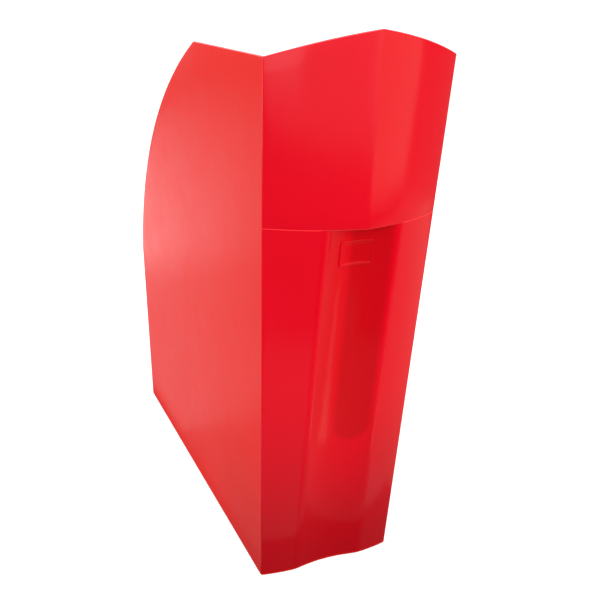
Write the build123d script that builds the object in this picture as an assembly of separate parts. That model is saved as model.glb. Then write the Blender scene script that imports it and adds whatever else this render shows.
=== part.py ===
"""Magazine file holder: a thin-walled polystyrene moulding, modelled wall by wall.

Millimetres, +Z up. The closed spine faces -Y and the low open end faces +Y. The origin is the
middle of the bounding box, on the underside of the base. While the walls are made, Y = 0 is the
line through the spine's two bottom corners; centred() shifts each wall just before export.
"""

import os
from math import asin, cos, degrees, sqrt

from build123d import *

# Overall sizes
PEAK_HEIGHT = 315.0  # top of the spine's crease
TOP_HEIGHT = 302.7  # level top edge of the side walls, and the spine's top corners
BASE_WIDTH = 87.2
TOP_WIDTH = 105.1
BASE_DEPTH = 243.9  # bottom corners of the spine to the rear wall
WALL = 2.0  # side walls, rear wall, base and finger-pull lip
SPINE_WALL = 2.2  # spine panels and channel, measured front to back

# Spine: two bowed facets that meet in a crease, with a finger channel below the ledge
LEDGE_HEIGHT = 221.7
CORNER_LEAN = 2.45  # how far the top corners stand forward of the bottom ones
CREASE_AT_LEDGE = 19.5  # how far the crease stands forward, at the ledge and at the peak
CREASE_AT_PEAK = 18.7
BOW_RADIUS = 120.0  # of each facet, in plan
TOP_EDGE_RADIUS = 300.0  # of each half of the spine's top edge, seen from the front

CHANNEL_HALF_WIDTH = 20.5
BORDER_AT_BASE = 2.65  # how far the channel's borders and its middle stand forward
MIDDLE_AT_BASE = 0.4
MIDDLE_AT_LEDGE = 8.5

# Side profile: the level top runs into an elliptical curve down to the rear wall's rim
CURVE_CENTRE = (-39.0, 103.8)  # Y, Z
CURVE_RADII = (288.0, 225.6)
RIM_HEIGHT = 135.0

# Blank name badge on the channel, under the ledge
BADGE_WIDTH = 20.0
BADGE_HEIGHT = 14.0
BADGE_CORNER = 1.5
BADGE_RISE = 0.6
BADGE_MIDDLE = 206.0

BEYOND = 20.0  # how far cutting tools run past what they cut


def along(low, high, share):
    return low + (high - low) * share


def curve_angle(z):
    """Where the side profile's ellipse passes height z, in radians."""
    return asin((z - CURVE_CENTRE[1]) / CURVE_RADII[1])


RIM_Y = CURVE_CENTRE[0] + CURVE_RADII[0] * cos(curve_angle(RIM_HEIGHT))


# Points in plan, at height z


def half_width(z):
    return along(BASE_WIDTH, TOP_WIDTH, z / TOP_HEIGHT) / 2


def rear_y(z):
    return along(BASE_DEPTH, RIM_Y, z / RIM_HEIGHT)


def corner(z):
    """The spine's right-hand corner."""
    return Vector(half_width(z), -CORNER_LEAN * z / TOP_HEIGHT)


def crease(z):
    share = (z - LEDGE_HEIGHT) / (PEAK_HEIGHT - LEDGE_HEIGHT)
    return Vector(0, -along(CREASE_AT_LEDGE, CREASE_AT_PEAK, share))


def bulging(start, end, radius):
    """Arc between two points that bulges to the right of the way from start to end."""
    chord = end - start
    sagitta = radius - sqrt(radius**2 - chord.length**2 / 4)
    outward = Vector(chord.Y, -chord.X).normalized()
    return ThreePointArc(start, (start + end) / 2 + outward * sagitta, end)


def ledge_border():
    """Where the channel's right-hand border meets the ledge: a point on the facet's arc."""
    middle = bulging(crease(LEDGE_HEIGHT), corner(LEDGE_HEIGHT), BOW_RADIUS).arc_center
    forward = sqrt(BOW_RADIUS**2 - (CHANNEL_HALF_WIDTH - middle.X) ** 2)
    return Vector(CHANNEL_HALF_WIDTH, middle.Y - forward)


LEDGE_BORDER = ledge_border()


def border(z):
    """The channel's right-hand border."""
    return Vector(CHANNEL_HALF_WIDTH, along(-BORDER_AT_BASE, LEDGE_BORDER.Y, z / LEDGE_HEIGHT))


# Sections


def outlined(edges, z):
    """The flat face inside these edges, at height z."""
    return Pos(0, 0, z) * make_face(Curve() + edges)


def strip(front, z):
    """Section of a spine wall: an edge, and the same edge SPINE_WALL further back."""
    back = Pos(0, SPINE_WALL) * front
    ends = [Line(front @ 0, back @ 0), Line(front @ 1, back @ 1)]
    return outlined([front, back, *ends], z)


def rectangle(left, right, front, rear, z):
    corners = [(left, front), (right, front), (right, rear), (left, rear)]
    return outlined([Polyline(*corners, close=True)], z)


def channel_arc(z):
    right = border(z)
    middle = Vector(0, -along(MIDDLE_AT_BASE, MIDDLE_AT_LEDGE, z / LEDGE_HEIGHT))
    return ThreePointArc((-right.X, right.Y), middle, right)


def lower_facet_arc(z):
    return bulging(border(z), corner(z), BOW_RADIUS)


def upper_facet_arc(z):
    return bulging(crease(z), corner(z), BOW_RADIUS)


def ruled(section, low, high):
    """Straight walls between a section at one height and the same section at another."""
    return loft([section(low), section(high)], ruled=True)


def mirrored(piece):
    return mirror(piece, about=Plane.YZ)


# Walls


def floor_space():
    """Everything up to the top face of the base plate."""
    return Pos(0, 0, WALL / 2) * Box(2 * TOP_WIDTH, 4 * BASE_DEPTH, WALL)


def above_top_edge():
    """Everything over the right-hand half of the spine's top edge."""
    peak = Vector(0, PEAK_HEIGHT)
    end = Vector(half_width(TOP_HEIGHT), TOP_HEIGHT)
    edge = bulging(end, peak, TOP_EDGE_RADIUS)
    high, far = PEAK_HEIGHT + BEYOND, end.X + BEYOND
    rest = Polyline(peak, (0, high), (far, high), (far, TOP_HEIGHT), end)
    return extrude(Plane.XZ * make_face(Curve() + [edge, rest]), amount=2 * BEYOND, both=True)


def upper_spine():
    """Right-hand facet above the ledge, up to the sloping top edge."""
    panel = ruled(lambda z: strip(upper_facet_arc(z), z), LEDGE_HEIGHT, PEAK_HEIGHT + 1)
    return panel - above_top_edge()


def lower_spine():
    """Right-hand facet below the ledge, between the channel's border and the corner."""
    return ruled(lambda z: strip(lower_facet_arc(z), z), 0, LEDGE_HEIGHT) - floor_space()


def finger_channel():
    return ruled(lambda z: strip(channel_arc(z), z), 0, LEDGE_HEIGHT) - floor_space()


def finger_pull_lip(upper_panels):
    """Level web that closes the bow above the channel; fingers pull on its underside."""
    halfway = Pos(0, SPINE_WALL / 2)
    right = halfway * bulging(crease(LEDGE_HEIGHT), LEDGE_BORDER, BOW_RADIUS)
    left = mirrored(right)
    back = Pos(0, SPINE_WALL) * channel_arc(LEDGE_HEIGHT)
    ends = [Line(left @ 1, back @ 0), Line(right @ 1, back @ 1)]
    lip = extrude(outlined([left, right, back, *ends], LEDGE_HEIGHT), amount=WALL)
    for panel in upper_panels:
        lip -= panel
    return lip


def side_outline():
    """Everything inside the side walls' outline, seen from the side."""
    low, high = degrees(curve_angle(RIM_HEIGHT)), degrees(curve_angle(TOP_HEIGHT))
    curve = EllipticalCenterArc(CURVE_CENTRE, *CURVE_RADII, start_angle=low, arc_size=high - low)
    rest = Polyline(curve @ 1, (-BEYOND, TOP_HEIGHT), (-BEYOND, 0), (BASE_DEPTH, 0), curve @ 0)
    return extrude(Plane.YZ * make_face(Curve() + [curve, rest]), amount=TOP_WIDTH, both=True)


def side_wall(spine_panels):
    """Right-hand wall. The spine's panels reach its outer face, so they are cut out of it."""

    def section(z):
        right = half_width(z)
        return rectangle(right - WALL, right, corner(z).Y + SPINE_WALL / 4, RIM_Y + BEYOND, z)

    wall = (ruled(section, 0, TOP_HEIGHT) & side_outline()) - floor_space()
    for panel in spine_panels:
        wall -= panel
    return wall


def rear_wall():
    """Low wall at the open end, between the side walls."""

    def section(z):
        half = half_width(z) - WALL
        return rectangle(-half, half, rear_y(z) - WALL, rear_y(z), z)

    return ruled(section, 0, RIM_HEIGHT) - floor_space()


def base_plate():
    """Floor of the holder, out to the outer faces of all the walls that stand on it."""

    def section(z):
        right = lower_facet_arc(z)
        end = right @ 1
        rest = Polyline(end, (end.X, rear_y(z)), (-end.X, rear_y(z)), (-end.X, end.Y))
        return outlined([right, mirrored(right), channel_arc(z), rest], z)

    return ruled(section, 0, LEDGE_HEIGHT) & floor_space()


def name_badge(channel):
    """Blank plate that follows the channel's face and stands BADGE_RISE proud of it."""
    skin = Pos(0, -BADGE_RISE) * channel - channel
    outline = Pos(0, BADGE_MIDDLE) * RectangleRounded(BADGE_WIDTH, BADGE_HEIGHT, BADGE_CORNER)
    return skin & extrude(Plane.XZ * outline, amount=2 * BEYOND, both=True)


def centred(piece):
    """Put the bounding box's middle over the origin."""
    return Pos(0, (CREASE_AT_LEDGE - RIM_Y) / 2, 0) * piece


def all_walls():
    upper, lower, channel = upper_spine(), lower_spine(), finger_channel()
    side = side_wall([upper, lower])
    return {
        "base_plate": base_plate(),
        "left_side_wall": mirrored(side),
        "right_side_wall": side,
        "rear_wall": rear_wall(),
        "upper_spine_left": mirrored(upper),
        "upper_spine_right": upper,
        "lower_spine_left": mirrored(lower),
        "lower_spine_right": lower,
        "finger_channel": channel,
        "finger_pull_lip": finger_pull_lip([upper, mirrored(upper)]),
        "name_badge": name_badge(channel),
    }


os.makedirs("parts", exist_ok=True)
for name, wall in all_walls().items():
    export_step(centred(wall), f"parts/{name}.step")
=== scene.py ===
"""Looks of the magazine file holder: each wall of the red moulding, with its rounded edges.

Metres, in the CAD model's frame: +Z up, the spine faces -Y and the low open end faces +Y. Each
wall is a loft of loops. A loop is one cross-section through the wall, from its foot up the outer
face, over the rounded rim and down the inner face, and the loops follow each other along the wall.
The base plate and the badge are rings of points, stacked one over another.
"""

from math import asin, atan2, cos, pi, radians, sin, sqrt, tan

import bpy
import numpy as np
from mathutils import Matrix, Vector

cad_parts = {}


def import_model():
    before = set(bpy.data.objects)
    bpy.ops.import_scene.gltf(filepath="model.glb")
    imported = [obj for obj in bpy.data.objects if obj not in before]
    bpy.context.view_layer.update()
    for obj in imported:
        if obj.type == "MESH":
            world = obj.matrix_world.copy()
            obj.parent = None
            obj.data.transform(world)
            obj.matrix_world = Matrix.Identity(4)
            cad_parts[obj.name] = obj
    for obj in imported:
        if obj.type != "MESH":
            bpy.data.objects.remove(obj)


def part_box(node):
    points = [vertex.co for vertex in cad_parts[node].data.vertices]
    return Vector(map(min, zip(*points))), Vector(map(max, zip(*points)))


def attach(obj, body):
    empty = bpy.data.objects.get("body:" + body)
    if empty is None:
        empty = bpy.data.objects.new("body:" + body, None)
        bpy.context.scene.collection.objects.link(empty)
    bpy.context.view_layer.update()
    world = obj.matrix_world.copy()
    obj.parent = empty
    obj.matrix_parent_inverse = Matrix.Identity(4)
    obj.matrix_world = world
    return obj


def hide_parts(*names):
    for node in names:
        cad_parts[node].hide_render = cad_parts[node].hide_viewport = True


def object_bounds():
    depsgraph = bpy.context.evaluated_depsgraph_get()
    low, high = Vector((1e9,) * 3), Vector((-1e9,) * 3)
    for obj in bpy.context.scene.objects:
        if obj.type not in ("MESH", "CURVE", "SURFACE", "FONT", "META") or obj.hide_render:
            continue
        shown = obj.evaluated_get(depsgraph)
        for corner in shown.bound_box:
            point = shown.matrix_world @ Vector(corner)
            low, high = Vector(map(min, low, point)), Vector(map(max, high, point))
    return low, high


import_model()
CAD_LOW, CAD_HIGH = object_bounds()

MM = 0.001

# Heights and half widths, read from the CAD model
PEAK = CAD_HIGH.z
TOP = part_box("left_side_wall")[1].z
LEDGE, LIP_TOP = (corner.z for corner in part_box("finger_pull_lip"))
FLOOR_TOP, RIM = (corner.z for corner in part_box("rear_wall"))
TOP_HALF = CAD_HIGH.x
CHANNEL_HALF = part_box("finger_channel")[1].x
RIM_Y = CAD_HIGH.y

# The rest of the shape, as the CAD model has it
CREASE_AT_LEDGE = 19.5 * MM
CREASE_AT_PEAK = 18.7 * MM
FRONT_Y = CAD_LOW.y + CREASE_AT_LEDGE  # the spine's bottom corners
BASE_HALF = 43.6 * MM
BASE_DEPTH = 243.9 * MM
CORNER_LEAN = 2.45 * MM
WALL = 2.0 * MM
SPINE_WALL = 2.2 * MM
BOW_RADIUS = 120 * MM
TOP_EDGE_RADIUS = 300 * MM
BORDER_AT_BASE = 2.65 * MM
MIDDLE_AT_BASE = 0.4 * MM
MIDDLE_AT_LEDGE = 8.5 * MM
CURVE_CENTRE = (FRONT_Y - 39.0 * MM, 103.8 * MM)  # Y, Z
CURVE_RADII = (288.0 * MM, 225.6 * MM)

# Roundings that the moulding has and the CAD model leaves out
RIM_ROUND = 0.7 * MM
CORNER_ROUND = 1.1 * MM
INNER_ROUND = 0.5 * MM
FOOT_ROUND = 0.7 * MM
LEDGE_ROUND = 0.5 * MM
CREASE_ROUND = 0.4 * MM
BORDER_BLEND = (0.8 * MM, 2.0 * MM)  # at the base and at the ledge
BORDER_END = CHANNEL_HALF + 3.0 * MM  # where the channel's wall ends and the facet's begins

# How finely the meshes follow the shape
ROUND_STEPS = 4  # faces over each rounded edge
UPPER_ROWS, LOWER_ROWS = 12, 20  # heights up the spine, above the ledge and below it
LIP_ROWS, LIP_COLUMNS = 6, 27
LEVEL_STEPS, CURVE_STEPS, REAR_STEPS = 9, 40, 10  # along the parts of the side wall's free edge
SIDE_ROWS = 16
REAR_ROWS, REAR_COLUMNS = 12, 13
BASE_SIDE_STEPS, BASE_REAR_STEPS = 24, 7
BADGE_SIDE_STEPS = 10
SHARP_ANGLE = radians(35)  # edges that turn more than this are shaded sharp

SIDE_FOOT_MARGIN = 8 * MM  # from the side wall's last foot point to the rear wall
LIP_MARGIN = 0.4 * MM  # keeps the lip's ends out of the channel's borders


def along(low, high, share):
    return low + (high - low) * share


# Plan of the moulding at height z. skin is 0 for the outer face and 1 for the inner one.


def half_width(z, skin=0):
    return along(BASE_HALF, TOP_HALF, z / TOP) - WALL * skin


def corner_y(z):
    return FRONT_Y - CORNER_LEAN * z / TOP


def rear_y(z, skin=0):
    return along(FRONT_Y + BASE_DEPTH, RIM_Y, z / RIM) - WALL * skin


def arc_y(x, start, end, radius):
    """Y at x on the arc that bulges forward from start to end, two points in plan."""
    (x0, y0), (x1, y1) = start, end
    chord_x, chord_y = x1 - x0, y1 - y0
    length = sqrt(chord_x**2 + chord_y**2)
    back = sqrt(radius**2 - length**2 / 4) / length
    middle_x = (x0 + x1) / 2 - chord_y * back
    middle_y = (y0 + y1) / 2 + chord_x * back
    return middle_y - sqrt(radius**2 - (x - middle_x) ** 2)


def upper_y(x, z):
    """Outer face of the spine above the ledge."""
    share = (z - LEDGE) / (PEAK - LEDGE)
    crease = FRONT_Y - along(CREASE_AT_LEDGE, CREASE_AT_PEAK, share)
    soft_x = sqrt(x**2 + CREASE_ROUND**2)
    return arc_y(soft_x, (0, crease), (half_width(z), corner_y(z)), BOW_RADIUS)


BORDER_AT_LEDGE = FRONT_Y - upper_y(CHANNEL_HALF, LEDGE)


def channel_y(x, z):
    """The channel's arc, carried on past its borders as far as it goes."""
    share = z / LEDGE
    border = along(BORDER_AT_BASE, BORDER_AT_LEDGE, share)
    middle = along(MIDDLE_AT_BASE, MIDDLE_AT_LEDGE, share)
    depth = border - middle
    radius = (CHANNEL_HALF**2 + depth**2) / (2 * depth)
    return FRONT_Y - middle - radius + sqrt(max(radius**2 - x**2, 0))


def lower_y(x, z):
    """Outer face of the spine below the ledge: whichever of channel and facet is further back."""
    share = z / LEDGE
    border = FRONT_Y - along(BORDER_AT_BASE, BORDER_AT_LEDGE, share)
    facet = arc_y(abs(x), (CHANNEL_HALF, border), (half_width(z), corner_y(z)), BOW_RADIUS)
    channel = channel_y(x, z)
    blend = along(*BORDER_BLEND, share)
    near = max(blend - abs(facet - channel), 0) / blend
    return max(facet, channel) + near**2 * blend / 4


def corner_round(face_y, z, skin):
    """Plan points round the spine's right-hand corner, from the facet to the side wall."""
    probe = 0.5 * MM
    x = half_width(z, skin)
    face = face_y(x, z)
    y = face + SPINE_WALL * skin
    slope = atan2(face - face_y(x - probe, z), probe)
    radius = INNER_ROUND if skin else CORNER_ROUND
    turn = pi / 2 - slope
    reach = radius * tan(turn / 2)
    centre_x, centre_y = x - radius, y + reach
    points = []
    for step in range(2 * ROUND_STEPS + 1):
        angle = slope - pi / 2 + turn * step / (2 * ROUND_STEPS)
        points.append((centre_x + radius * cos(angle), centre_y + radius * sin(angle)))
    return points


def spine_column(face_y, column, z, skin):
    """Plan point of a spine column, which is ("x", X), ("share", S) or ("round", STEP)."""
    kind, value = column
    if kind == "x":
        return value, face_y(value, z) + SPINE_WALL * skin
    turned = corner_round(face_y, z, skin)
    if kind == "round":
        return turned[value]
    x = along(BORDER_END, turned[0][0], value)
    return x, face_y(x, z) + SPINE_WALL * skin


def top_edge(x):
    """Height of the spine's sloping top edge."""
    chord_x, chord_z = TOP_HALF, PEAK - TOP
    length = sqrt(chord_x**2 + chord_z**2)
    back = sqrt(TOP_EDGE_RADIUS**2 - length**2 / 4) / length
    middle_x = chord_x / 2 - chord_z * back
    middle_z = (PEAK + TOP) / 2 - chord_x * back
    return middle_z + sqrt(TOP_EDGE_RADIUS**2 - (min(abs(x), TOP_HALF) - middle_x) ** 2)


# Meshes


def rounded_rim(outer, inner, up, radius):
    """Points over a rim from its outer face to its inner one, both edges rounded."""
    across = (inner - outer).normalized()
    points = []
    for edge, inward in ((outer, across), (inner, -across)):
        arc = []
        for step in range(ROUND_STEPS + 1):
            angle = pi / 2 * step / ROUND_STEPS
            arc.append(edge + inward * radius * (1 - cos(angle)) - up * radius * (1 - sin(angle)))
        points += arc if edge is outer else arc[::-1]
    return points


def new_piece(name, vertices, faces, material, replaces):
    """One closed piece, with its normals turned outward and its edges sharp only where they are."""
    mesh = bpy.data.meshes.new(name)
    mesh.from_pydata([tuple(v) for v in vertices], [], faces)
    mesh.validate()
    piece = bpy.data.objects.new(name, mesh)
    bpy.context.collection.objects.link(piece)
    mesh.shade_smooth()
    mesh.set_sharp_from_angle(angle=SHARP_ANGLE)
    mesh.materials.append(material)
    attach(piece, "root")
    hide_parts(replaces)
    return piece


def loft(name, loops, material, replaces):
    """Joins loops of points, one after another, and closes the first and the last."""
    size = len(loops[0])
    vertices = [point for loop in loops for point in loop]
    faces = []
    for row in range(len(loops) - 1):
        for i in range(size):
            a, b = row * size + i, row * size + (i + 1) % size
            faces.append((a, a + size, b + size, b))
    last = len(vertices) - size
    for i in range(size // 2 - 1):
        far = size - 1 - i
        faces.append((i, i + 1, far - 1, far))
        faces.append((last + far, last + far - 1, last + i + 1, last + i))
    return new_piece(name, vertices, faces, material, replaces)


def mirrored(loops):
    """The same loops on the left. Their order is turned round too, so that faces still point out."""
    return [[Vector((-p.x, p.y, p.z)) for p in loop] for loop in reversed(loops)]


def quarter(radius):
    """(rise, inset) pairs of an edge's rounding, from its flat underside up to its face."""
    angles = [pi / 2 * step / ROUND_STEPS for step in range(ROUND_STEPS, -1, -1)]
    return [(radius * (1 - sin(angle)), radius * (1 - cos(angle))) for angle in angles]


# Columns of the spine's right half, from the crease outward. They are close together where the
# face turns: at the crease, at the channel's border and round the corner.
CREASE_OFFSETS = (0, 0.4, 0.9, 1.6, 2.6, 4)  # mm
CHANNEL_SPAN = (5.5 * MM, CHANNEL_HALF - 4 * MM)
BORDER_SPAN = (CHANNEL_HALF - 3.5 * MM, BORDER_END)
CHANNEL_STEPS, BORDER_STEPS, FACET_STEPS = 8, 14, 11

CREASE_COLUMNS = [("x", x * MM) for x in CREASE_OFFSETS]
CHANNEL_COLUMNS = [("x", x) for x in np.linspace(*CHANNEL_SPAN, CHANNEL_STEPS)]
BORDER_COLUMNS = [("x", x) for x in np.linspace(*BORDER_SPAN, BORDER_STEPS)]
FACET_COLUMNS = [("share", s) for s in np.linspace(0, 1, FACET_STEPS)[1:-1]]
ROUND_COLUMNS = [("round", step) for step in range(2 * ROUND_STEPS + 1)]

INNER_COLUMNS = CREASE_COLUMNS + CHANNEL_COLUMNS + BORDER_COLUMNS
OUTER_COLUMNS = FACET_COLUMNS + ROUND_COLUMNS


def upper_loop(column):
    """Cross-section of the bow: rounded at the ledge, up the face, over the rim and down inside."""

    def point(z, skin, inset=0.0):
        x, y = spine_column(upper_y, column, z, skin)
        return Vector((x, y + inset, z))

    top = top_edge(spine_column(upper_y, column, TOP, 0)[0])
    outer = [point(LEDGE + rise, 0, inset) for rise, inset in quarter(LEDGE_ROUND)]
    heights = np.linspace(LEDGE + LEDGE_ROUND, top - RIM_ROUND, UPPER_ROWS)
    outer += [point(z, 0) for z in heights[1:-1]]
    rim = rounded_rim(point(top, 0), point(top, 1), Vector((0, 0, 1)), RIM_ROUND)
    heights = np.linspace(top - RIM_ROUND, LEDGE, len(outer) + 1)
    return outer + rim + [point(z, 1) for z in heights[1:]]


def lower_loop(column):
    """Cross-section of a wall below the ledge: up its outer face and down its inner one."""
    heights = np.linspace(FLOOR_TOP, LEDGE, LOWER_ROWS)
    loop = []
    for skin, order in ((0, heights), (1, heights[::-1])):
        for z in order:
            x, y = spine_column(lower_y, column, z, skin)
            loop.append(Vector((x, y, z)))
    return loop


def lip_loop(x):
    """Cross-section of the web that closes the bow above the channel."""
    front = upper_y(x, LEDGE) + SPINE_WALL
    rear = lower_y(x, LEDGE) + SPINE_WALL
    rows = np.linspace(front, rear, LIP_ROWS)
    under = [Vector((x, y, LEDGE)) for y in rows[::-1]]
    return under + [Vector((x, y, LIP_TOP)) for y in rows]


def side_rim():
    """(place, outward way) round the side wall's free edge in its YZ plane, from spine to foot."""
    start = corner_round(upper_y, TOP, 0)[-1][1]
    low, high = (asin((z - CURVE_CENTRE[1]) / CURVE_RADII[1]) for z in (RIM, TOP))
    curve = []
    for angle in np.linspace(high, low, CURVE_STEPS):
        reach = (CURVE_RADII[0] * cos(angle), CURVE_RADII[1] * sin(angle))
        place = Vector((0, CURVE_CENTRE[0] + reach[0], CURVE_CENTRE[1] + reach[1]))
        way = Vector((0, cos(angle) / CURVE_RADII[0], sin(angle) / CURVE_RADII[1]))
        curve.append((place, way))
    level_depths = np.linspace(start, curve[0][0].y, LEVEL_STEPS)[:-1]
    level = [(Vector((0, y, TOP)), Vector((0, 0, 1))) for y in level_depths]
    heights = np.linspace(RIM, FLOOR_TOP, REAR_STEPS)[1:]
    rear = [(Vector((0, rear_y(z), z)), Vector((0, 1, 0))) for z in heights]
    return level + curve + rear


def side_loops():
    """Cross-sections of the right side wall. They fan round from upright to flat at the rear foot."""

    def on_skin(p, skin):
        return Vector((half_width(p.z, skin), p.y, p.z))

    rim = side_rim()
    shares = np.linspace(0, 1, SIDE_ROWS)[:-1]
    foot_start = corner_round(lower_y, FLOOR_TOP, 0)[-1][1]
    foot_end = rear_y(FLOOR_TOP) - SIDE_FOOT_MARGIN
    loops = []
    for number, (place, way) in enumerate(rim):
        way = way.normalized()
        end = place - way * RIM_ROUND
        foot = Vector((0, along(foot_start, foot_end, number / (len(rim) - 1)), FLOOR_TOP))
        upright = [foot.lerp(end, share) for share in shares]
        if number == 0:
            for p in upright:
                p.y = corner_round(upper_y if p.z > LEDGE else lower_y, p.z, 0)[-1][1]
        loop = [on_skin(p, 0) for p in upright]
        loop += rounded_rim(on_skin(place, 0), on_skin(place, 1), way, RIM_ROUND)
        loops.append(loop + [on_skin(p, 1) for p in reversed(upright)])
    return loops


def rear_loop(share):
    """Cross-section of the low wall, with its rounded rim."""

    def point(z, skin):
        half = half_width(z, 1)
        return Vector((along(half, -half, share), rear_y(z, skin), z))

    heights = np.linspace(FLOOR_TOP, RIM - RIM_ROUND, REAR_ROWS)[:-1]
    loop = [point(z, 0) for z in heights]
    loop += rounded_rim(point(RIM, 0), point(RIM, 1), Vector((0, 0, 1)), RIM_ROUND)
    return loop + [point(z, 1) for z in reversed(heights)]


def base_outline(z):
    """Plan of the whole moulding at height z, from the middle of the spine round by the right."""
    columns = INNER_COLUMNS + OUTER_COLUMNS
    right = [spine_column(lower_y, column, z, 0) for column in columns]
    x, rear = half_width(z), rear_y(z)
    side_depths = np.linspace(right[-1][1], rear - CORNER_ROUND, BASE_SIDE_STEPS)[1:]
    right += [(x, y) for y in side_depths]
    for step in range(1, 2 * ROUND_STEPS + 1):
        angle = pi / 2 * step / (2 * ROUND_STEPS)
        right.append((x - CORNER_ROUND * (1 - cos(angle)), rear - CORNER_ROUND * (1 - sin(angle))))
    right += [(rear_x, rear) for rear_x in np.linspace(x - CORNER_ROUND, 0, BASE_REAR_STEPS)[1:]]
    left = [(-px, py) for px, py in right[-2:0:-1]]
    return [Vector(p) for p in right + left]


def stacked(name, rings, material, replaces):
    """Joins closed rings of points, one over another, and closes both ends with a flat face."""
    count = len(rings[0])
    vertices = [point for ring in rings for point in ring]
    faces = [tuple(range(count))[::-1]]
    for row in range(len(rings) - 1):
        for i in range(count):
            a, b = row * count + i, row * count + (i + 1) % count
            faces.append((a, b, b + count, a + count))
    faces.append(tuple(range(len(vertices) - count, len(vertices))))
    return new_piece(name, vertices, faces, material, replaces)


def base_rings():
    rings = []
    for z, inset in quarter(FOOT_ROUND) + [(FLOOR_TOP, 0.0)]:
        outline = base_outline(z)
        ring = []
        for i, p in enumerate(outline):
            way = (outline[(i + 1) % len(outline)] - outline[i - 1]).normalized()
            ring.append(Vector((p.x - way.y * inset, p.y + way.x * inset, z)))
        rings.append(ring)
    return rings


def rounded_rectangle(half_length, half_height, radius):
    """Points round a rectangle, close enough on its long sides to follow a curved face."""
    radius = min(radius, half_height * 0.9)  # leaves some of each short side straight
    corners = []
    for number in range(4):
        sign_x, sign_z = ((1, -1), (1, 1), (-1, 1), (-1, -1))[number]
        middle = (sign_x * (half_length - radius), sign_z * (half_height - radius))
        first = pi / 2 * (number - 1)
        for step in range(ROUND_STEPS + 1):
            angle = first + pi / 2 * step / ROUND_STEPS
            corners.append((middle[0] + radius * cos(angle), middle[1] + radius * sin(angle)))
    points = []
    for i, (x, z) in enumerate(corners):
        next_x, next_z = corners[(i + 1) % len(corners)]
        long_side = i % (ROUND_STEPS + 1) == ROUND_STEPS
        parts = BADGE_SIDE_STEPS if long_side else 1
        for part in range(parts):
            points.append((along(x, next_x, part / parts), along(z, next_z, part / parts)))
    return points


# (inset from the badge's outline, height over the channel's face), both in mm: from the middle of
# its back, sunk in the wall, round its raised border to the middle of its face
BADGE_BACK = [(6.5, -0.3), (4.5, -0.3), (2.0, -0.3), (0, -0.3)]
BADGE_BORDER = [(0, 0.3), (0.1, 0.48), (0.3, 0.58), (0.9, 0.58), (1.1, 0.5), (1.25, 0.33)]
BADGE_FACE = [(1.45, 0.25), (3.0, 0.25), (4.8, 0.25), (6.5, 0.25)]
BADGE_CORNER = 1.6  # mm, of its outline; it shrinks with the inset, but not below the least
BADGE_LEAST_CORNER = 0.4


def badge_rings():
    low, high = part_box("name_badge")
    middle_z = (low.z + high.z) / 2
    rings = []
    for inset, rise in BADGE_BACK + BADGE_BORDER + BADGE_FACE:
        half_x = high.x - inset * MM
        half_z = (high.z - low.z) / 2 - inset * MM
        corner = max(BADGE_CORNER - inset, BADGE_LEAST_CORNER) * MM
        ring = []
        for x, z in rounded_rectangle(half_x, half_z, corner):
            height = middle_z + z
            ring.append(Vector((x, lower_y(x, height) - rise * MM, height)))
        rings.append(ring)
    return rings


# Materials

# Painted shade: the red is painted darker towards the foot of the spine, where less light comes in
# through the walls. The reach is measured from the spine's bottom corners, in the YZ plane: the
# foot's painted shade at the first, none at the second.
GLOSS_FOOT_SHADE_REACH = (-20 * MM, 140 * MM)
SATIN_FOOT_SHADE_REACH = (-20 * MM, 105 * MM)
# (deep, pale, painted shade at the foot): the slow clouds run between the first two
GLOSS_TINT_AND_FOOT_SHADE = ((0.79, 0.0004, 0.0115), (0.83, 0.0008, 0.0145), (0.42, 0.0006, 0.005))
SATIN_TINT_AND_FOOT_SHADE = ((0.79, 0.004, 0.0), (0.83, 0.006, 0.0004), (0.55, 0.002, 0.0008))

# Painted shade down the finger channel: a dark patch with a round lower end, right of the middle,
# over a lighter painted shade across the recess. Each HALF and HEIGHTS pair is where the change
# starts and ends.
CORE_FOOT = 100 * MM
CORE_MIDDLE = 8 * MM
CORE_HALF = (8.5 * MM, 13 * MM)
CORE_SHADE_RED = (0.63, 0.0008, 0.006)
RECESS_HEIGHTS = (30 * MM, 130 * MM)
RECESS_HALF = (17 * MM, 20 * MM)
RECESS_SHADE_RED = (0.77, 0.0006, 0.009)
OUTSIDE_FACING = (-0.5, 0.0)  # Y of the normal: the painted shade is on the outer face only

# Painted highlight: rims that face up or down are painted paler and glow a little, though no lamp is
# there
EDGE_FACING = (0.4, 0.8)  # Z of the normal, up or down
EDGE_HIGHLIGHT_RED = (0.90, 0.09, 0.10)
EDGE_PAINTED_GLOW = 0.35

CLOUD_SCALE = 14.0
SCUFF_SCALE = 55.0
SCUFF_SHARE = 0.15  # how far the scuffs move the roughness, either way
PLASTIC_IOR = 1.5
BRIGHT_SPECULAR, DULL_SPECULAR = 0.2, 0.12
# (tint with the foot's painted shade, reach of that shade, roughness, height of the grain, its scale)
GLOSS_FINISH = (GLOSS_TINT_AND_FOOT_SHADE, GLOSS_FOOT_SHADE_REACH, 0.15, 0.02 * MM, 900.0)
SATIN_FINISH = (SATIN_TINT_AND_FOOT_SHADE, SATIN_FOOT_SHADE_REACH, 0.4, 0.1 * MM, 700.0)
INSIDE_FINISH = (SATIN_TINT_AND_FOOT_SHADE, SATIN_FOOT_SHADE_REACH, 0.36, 0.04 * MM, 1100.0)


def node(tree, kind, **values):
    """A new node with its named inputs set. An underscore in a name stands for a space."""
    made = tree.nodes.new(kind)
    for name, value in values.items():
        made.inputs[name.replace("_", " ")].default_value = value
    return made


def computed(tree, kind, operation, values):
    """A new node that computes with values, each a constant or another node's output."""
    made = tree.nodes.new(kind)
    made.operation = operation
    for socket, value in zip(made.inputs, values):
        if isinstance(value, bpy.types.NodeSocket):
            tree.links.new(value, socket)
        else:
            socket.default_value = value
    return made


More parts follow.
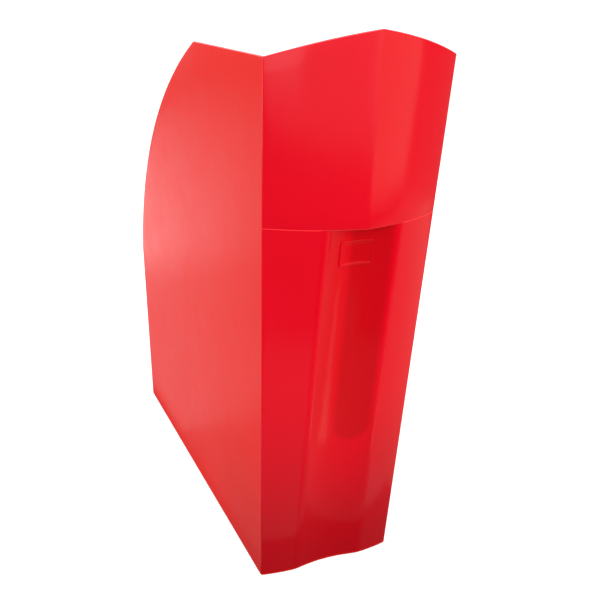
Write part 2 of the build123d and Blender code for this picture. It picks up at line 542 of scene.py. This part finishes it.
def maths(tree, operation, *values):
    return computed(tree, "ShaderNodeMath", operation, values).outputs["Value"]


def vector_maths(tree, operation, *values):
    return computed(tree, "ShaderNodeVectorMath", operation, values).outputs["Vector"]


def vector_length(tree, vector):
    return computed(tree, "ShaderNodeVectorMath", "LENGTH", (vector,)).outputs["Value"]


def component(tree, vector, axis):
    split = tree.nodes.new("ShaderNodeSeparateXYZ")
    tree.links.new(vector, split.inputs["Vector"])
    return split.outputs[axis]


def normal(tree, axis):
    return component(tree, tree.nodes.new("ShaderNodeNewGeometry").outputs["Normal"], axis)


def noise(tree, place, **values):
    made = node(tree, "ShaderNodeTexNoise", **values)
    tree.links.new(place, made.inputs["Vector"])
    return made.outputs["Fac"]


def mix(tree, factor, low, high):
    """Colour from low to high. Either may be a colour or another node's output."""
    made = tree.nodes.new("ShaderNodeMix")
    made.data_type = "RGBA"
    tree.links.new(factor, made.inputs[0])
    for socket, colour in ((made.inputs[6], low), (made.inputs[7], high)):
        if isinstance(colour, tuple):
            socket.default_value = (*colour, 1)
        else:
            tree.links.new(colour, socket)
    return made.outputs[2]


def smooth_step(tree, value, start, end):
    """0 up to start, 1 from end on, with a soft change between them."""
    made = node(tree, "ShaderNodeMapRange", From_Min=start, From_Max=end)
    made.interpolation_type = "SMOOTHSTEP"
    tree.links.new(value, made.inputs["Value"])
    return made.outputs["Result"]


def foot_distance(tree, place):
    """Distance in the YZ plane from the line through the spine's bottom corners."""
    offset = vector_maths(tree, "SUBTRACT", place, (0, FRONT_Y, 0))
    return vector_length(tree, vector_maths(tree, "MULTIPLY", offset, (0, 1, 1)))


def channel_painted_shade(tree, place, from_foot, colour):
    """Painted shade across the recess, with a darker patch of painted shade in it, on the outer face
    only.
    """
    x = component(tree, place, "X")
    recess = mix(tree, smooth_step(tree, from_foot, *RECESS_HEIGHTS), colour, RECESS_SHADE_RED)
    off_middle = smooth_step(tree, maths(tree, "ABSOLUTE", x), *RECESS_HALF)
    recessed = mix(tree, off_middle, recess, colour)
    below = maths(tree, "SUBTRACT", CORE_FOOT, component(tree, place, "Z"))
    from_core = tree.nodes.new("ShaderNodeCombineXYZ")
    tree.links.new(maths(tree, "SUBTRACT", x, CORE_MIDDLE), from_core.inputs["X"])
    tree.links.new(maths(tree, "MAXIMUM", below, 0.0), from_core.inputs["Z"])
    off_core = smooth_step(tree, vector_length(tree, from_core.outputs["Vector"]), *CORE_HALF)
    shaded = mix(tree, off_core, CORE_SHADE_RED, recessed)
    return mix(tree, smooth_step(tree, normal(tree, "Y"), *OUTSIDE_FACING), shaded, colour)


def painted_rim_highlight(tree, shader, colour):
    """Painted highlight on rims that face up or down: they are painted paler and glow, for the light
    that travels in the wall and leaves it there.
    """
    edge = smooth_step(tree, maths(tree, "ABSOLUTE", normal(tree, "Z")), *EDGE_FACING)
    shader.inputs["Emission Color"].default_value = (*EDGE_HIGHLIGHT_RED, 1)
    tree.links.new(maths(tree, "MULTIPLY", edge, EDGE_PAINTED_GLOW), shader.inputs["Emission Strength"])
    return mix(tree, edge, colour, EDGE_HIGHLIGHT_RED)


def polystyrene(name, finish, specular, channel_shade=False, edges=False):
    """Translucent red moulding. Its red is painted darker towards the foot of the spine, as painted
    shade where less light gets inside the holder. It has slow clouds, scuffs that vary its roughness,
    and a fine grain. The first flag adds the finger channel's painted shade, the second the rims'
    painted highlight and glow."""
    (deep, pale, foot), reach, roughness, grain_height, grain_scale = finish
    material = bpy.data.materials.new(name)
    material.use_nodes = True
    tree = material.node_tree
    shader = tree.nodes["Principled BSDF"]
    place = node(tree, "ShaderNodeTexCoord").outputs["Object"]

    cloud = noise(tree, place, Scale=CLOUD_SCALE, Detail=3.0, Roughness=0.5)
    from_foot = foot_distance(tree, place)
    # Painted shade: the red darkens towards the foot of the spine.
    painted_light_share = smooth_step(tree, from_foot, *reach)
    colour = mix(tree, painted_light_share, foot, mix(tree, cloud, deep, pale))
    # Painted shade down the finger channel's outer face.
    if channel_shade:
        colour = channel_painted_shade(tree, place, from_foot, colour)
    # Painted highlight and glow on rims that face up or down.
    if edges:
        colour = painted_rim_highlight(tree, shader, colour)
    tree.links.new(colour, shader.inputs["Base Color"])

    scuff = noise(tree, place, Scale=SCUFF_SCALE, Detail=5.0, Roughness=0.65)
    smoothest, roughest = roughness * (1 - SCUFF_SHARE), roughness * (1 + SCUFF_SHARE)
    scuffed = node(tree, "ShaderNodeMapRange", To_Min=smoothest, To_Max=roughest)
    tree.links.new(scuff, scuffed.inputs["Value"])
    tree.links.new(scuffed.outputs["Result"], shader.inputs["Roughness"])

    grain = noise(tree, place, Scale=grain_scale, Detail=2.0, Roughness=0.6)
    bump = node(tree, "ShaderNodeBump", Strength=1.0, Distance=grain_height)
    tree.links.new(grain, bump.inputs["Height"])
    tree.links.new(bump.outputs["Normal"], shader.inputs["Normal"])

    shader.inputs["IOR"].default_value = PLASTIC_IOR
    shader.inputs["Specular IOR Level"].default_value = specular
    return material


def build_holder():
    gloss = polystyrene("red_gloss", GLOSS_FINISH, BRIGHT_SPECULAR, edges=True)
    channel = polystyrene("red_channel", GLOSS_FINISH, DULL_SPECULAR, channel_shade=True)
    satin = polystyrene("red_satin", SATIN_FINISH, DULL_SPECULAR, edges=True)
    inside = polystyrene("red_inside", INSIDE_FINISH, DULL_SPECULAR)

    right = [upper_loop(column) for column in INNER_COLUMNS + OUTER_COLUMNS]
    loft("upper_spine_right_moulded", right, gloss, "upper_spine_right")
    loft("upper_spine_left_moulded", mirrored(right), gloss, "upper_spine_left")
    right = [lower_loop(column) for column in BORDER_COLUMNS[-1:] + OUTER_COLUMNS]
    loft("lower_spine_right_moulded", right, gloss, "lower_spine_right")
    loft("lower_spine_left_moulded", mirrored(right), gloss, "lower_spine_left")
    right = [lower_loop(column) for column in INNER_COLUMNS]
    loft("finger_channel_moulded", mirrored(right)[:-1] + right, channel, "finger_channel")
    lip_half = CHANNEL_HALF - LIP_MARGIN
    lip = [lip_loop(x) for x in np.linspace(-lip_half, lip_half, LIP_COLUMNS)]
    loft("finger_pull_lip_moulded", lip, inside, "finger_pull_lip")
    right = side_loops()
    loft("right_side_wall_moulded", right, satin, "right_side_wall")
    loft("left_side_wall_moulded", mirrored(right), satin, "left_side_wall")
    rear = [rear_loop(share) for share in np.linspace(0, 1, REAR_COLUMNS)]
    loft("rear_wall_moulded", rear, satin, "rear_wall")
    stacked("base_plate_moulded", base_rings(), inside, "base_plate")
    stacked("name_badge_moulded", badge_rings(), channel, "name_badge")


# Stage

BACKDROP_RADIUS = 9.0
BACKDROP_BEND = 4.0  # radius of the sweep between the floor and the upright rim
BACKDROP_RINGS = (0.25, 0.5, 1, 2, 3.5)  # radii of the floor's rings inside the bend
BACKDROP_SIDES = 72
BEND_STEPS = 12
FLOOR_GAP = 0.1 * MM  # keeps the floor clear of the holder's underside
PAPER_WHITES = ((0.80, 0.80, 0.80), (0.84, 0.84, 0.84))
PAPER_GLOW = 0.5

CAMERA_PLACE = (-0.1955, FRONT_Y - 0.3352, 0.3319)
CAMERA_YAW, CAMERA_PITCH, CAMERA_ROLL = radians(22.13), radians(23.39), radians(1.04)
CAMERA_LENS, CAMERA_SENSOR = 45.93, 36.0
CAMERA_SHIFT = (0.0965, 0.0272)

NEUTRAL = (1.0, 1.0, 1.0)
WARM = (1.0, 0.88, 0.66)

LIT_POINT = (0, -0.05, 0.2)  # what every softbox is turned towards
# name: (place, size, power, colour)
SOFTBOXES = {
    "left_front": ((-0.6, -0.9, 0.45), (0.6, 0.6), 2.3, NEUTRAL),
    "left_rear": ((-0.9, 0.4, 0.3), (0.6, 0.6), 5.1, NEUTRAL),
    "front": ((-0.15, -0.95, 0.44), (1.2, 0.75), 3.0, NEUTRAL),
    "right_front": ((0.65, -0.8, 0.3), (0.8, 0.6), 2.4, WARM),
    "right": ((0.9, -0.15, 0.1), (0.6, 0.4), 2.3, WARM),
    "right_rear": ((0.9, 0.5, 0.4), (0.6, 0.6), 2.6, NEUTRAL),
    "rear": ((0.1, 1.0, 0.5), (0.6, 0.6), 2.2, NEUTRAL),
}
DIFFUSE_SOFTBOX = "right"  # the one that doesn't show in reflections

# Pale cards that lie on the floor and show only as reflections.
# name: (place, size, turn in degrees, brightness, colour)
CARDS = {
    "rear_left_card": ((-0.25, 1.03, 0.0), (0.25, 1.18), 13, 2.2, NEUTRAL),
    "left_card": ((-0.15, 0.28, 0.0), (0.2, 0.44), 0, 0.72, NEUTRAL),
    "foot_card": ((-0.15, -0.04, 0.0), (0.2, 0.2), 0, 0.25, NEUTRAL),
    "right_card": ((0.5, -0.25, 0.0), (0.8, 0.45), 0, 0.4, WARM),
    "right_strip": ((0.22, -0.27, 0.0), (0.3, 0.028), -30, 1.7, WARM),
    "front_card": ((-0.05, -0.27, 0.0), (0.3, 0.25), 0, 0.45, NEUTRAL),
}

# The world's brightness: from the ground, and what the sky and the rear add
GROUND_LIGHT = 0.25
SKY_LIGHT = 1.0
REAR_LIGHT = 0.1


def around(radius, z):
    """Points of a level ring."""
    angles = [2 * pi * i / BACKDROP_SIDES for i in range(BACKDROP_SIDES)]
    return [(radius * cos(angle), radius * sin(angle), z) for angle in angles]


def backdrop():
    """Round white sweep: a floor that curves up far from the holder, all the way round."""
    profile = [(radius, 0) for radius in BACKDROP_RINGS]
    inner = BACKDROP_RADIUS - BACKDROP_BEND
    for step in range(BEND_STEPS + 1):
        angle = pi / 2 * step / BEND_STEPS
        profile.append((inner + BACKDROP_BEND * sin(angle), BACKDROP_BEND * (1 - cos(angle))))
    sides = BACKDROP_SIDES
    vertices = [(0, 0, 0)]
    for radius, z in profile:
        vertices += around(radius, z)
    faces = [(0, 1 + i, 1 + (i + 1) % sides) for i in range(sides)]
    for row in range(len(profile) - 1):
        for i in range(sides):
            a, b = 1 + row * sides + i, 1 + row * sides + (i + 1) % sides
            faces.append((a, a + sides, b + sides, b))
    mesh = bpy.data.meshes.new("backdrop")
    mesh.from_pydata(vertices, [], faces)
    mesh.shade_smooth()
    piece = bpy.data.objects.new("backdrop", mesh)
    piece.location.z = -FLOOR_GAP
    piece.visible_diffuse = False
    piece.visible_glossy = False
    bpy.context.collection.objects.link(piece)
    mesh.materials.append(backdrop_paper())


def backdrop_paper():
    material = bpy.data.materials.new("backdrop_paper")
    material.use_nodes = True
    tree = material.node_tree
    shader = tree.nodes["Principled BSDF"]
    place = node(tree, "ShaderNodeTexCoord").outputs["Object"]
    paper = mix(tree, noise(tree, place, Scale=60.0, Detail=4.0), *PAPER_WHITES)
    tree.links.new(paper, shader.inputs["Base Color"])
    shader.inputs["Roughness"].default_value = 0.9
    shader.inputs["Specular IOR Level"].default_value = 0.0
    shader.inputs["Emission Color"].default_value = (1, 1, 1, 1)
    shader.inputs["Emission Strength"].default_value = PAPER_GLOW
    return material


def camera():
    """Looks down at the spine from its left, from a little above the holder's top."""
    yaw, pitch, roll = CAMERA_YAW, CAMERA_PITCH, CAMERA_ROLL
    forward = Vector((sin(yaw) * cos(pitch), cos(yaw) * cos(pitch), -sin(pitch)))
    level = Vector((cos(yaw), -sin(yaw), 0))
    upright = level.cross(forward)
    right = level * cos(roll) + upright * sin(roll)
    up = upright * cos(roll) - level * sin(roll)
    data = bpy.data.cameras.new("camera")
    data.lens = CAMERA_LENS
    data.sensor_width = CAMERA_SENSOR
    data.shift_x, data.shift_y = CAMERA_SHIFT
    piece = bpy.data.objects.new("camera", data)
    turn = Matrix((right, up, -forward)).transposed().to_4x4()
    piece.matrix_world = Matrix.Translation(CAMERA_PLACE) @ turn
    bpy.context.collection.objects.link(piece)
    bpy.context.scene.camera = piece


def softbox(name, place, target, size, power, colour):
    """Area light that the camera doesn't see."""
    data = bpy.data.lights.new(name, "AREA")
    data.shape = "RECTANGLE"
    data.size, data.size_y = size
    data.energy = power
    data.color = colour
    piece = bpy.data.objects.new(name, data)
    piece.location = place
    piece.rotation_euler = (Vector(target) - Vector(place)).to_track_quat("-Z", "Y").to_euler()
    piece.visible_camera = False
    bpy.context.collection.objects.link(piece)
    return piece


def lights():
    for name, (place, size, power, colour) in SOFTBOXES.items():
        light = softbox(name, place, LIT_POINT, size, power, colour)
        light.visible_glossy = name != DIFFUSE_SOFTBOX
    for name, (place, size, turn, brightness, colour) in CARDS.items():
        power = brightness * pi * size[0] * size[1]
        above = (place[0], place[1], 1)
        card = softbox(name, place, above, size, power, colour)
        card.rotation_euler.z += radians(turn)
        card.visible_diffuse = False


def world():
    """Even grey ground, a sky that brightens upward, and a little more light from the rear."""
    made = bpy.data.worlds.new("studio")
    made.use_nodes = True
    tree = made.node_tree
    background = tree.nodes["Background"]
    way = node(tree, "ShaderNodeTexCoord").outputs["Generated"]
    sky = node(tree, "ShaderNodeMapRange", To_Min=GROUND_LIGHT, To_Max=GROUND_LIGHT + SKY_LIGHT)
    tree.links.new(component(tree, way, "Z"), sky.inputs["Value"])
    rear = node(tree, "ShaderNodeMapRange", To_Max=REAR_LIGHT)
    tree.links.new(component(tree, way, "Y"), rear.inputs["Value"])
    total = maths(tree, "ADD", sky.outputs["Result"], rear.outputs["Result"])
    tree.links.new(total, background.inputs["Strength"])
    background.inputs["Color"].default_value = (1, 1, 1, 1)
    bpy.context.scene.world = made
    bpy.context.scene.view_settings.view_transform = "Standard"


build_holder()
backdrop()
camera()
lights()
world()
